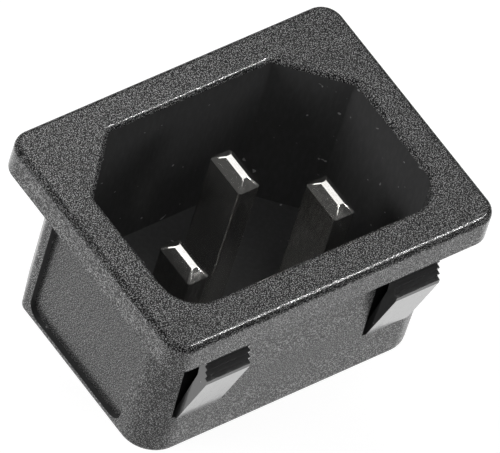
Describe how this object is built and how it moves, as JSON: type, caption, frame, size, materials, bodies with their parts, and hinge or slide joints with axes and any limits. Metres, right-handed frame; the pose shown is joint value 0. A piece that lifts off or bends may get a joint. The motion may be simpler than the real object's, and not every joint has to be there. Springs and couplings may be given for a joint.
{
  "type": "c14 panel inlet socket",
  "caption": "Snap-in panel appliance inlet in black moulded plastic, with a rectangular flange, stepped snap latches, nickel-plated contact pins and push-on rear tabs.",
  "frame": {"origin": "centre of the back face of the flange, which seats on the panel", "axes": "+X along the long side of the flange, from the left pin to the right pin; +Y along the short side, towards the earth pin and the two cut corners; +Z out of the socket, towards the mating plug"},
  "size_m": [0.031, 0.0234, 0.0255],
  "materials": {
    "housing_plastic": "fine spark-eroded texture on the outer faces, smooth in the recess",
    "contact_metal": "nickel plated, bright"
  },
  "bodies": {
    "root": {"housing": "housing_plastic", "left_pin": "contact_metal", "right_pin": "contact_metal", "earth_pin": "contact_metal"}
  },
  "joints": []
}
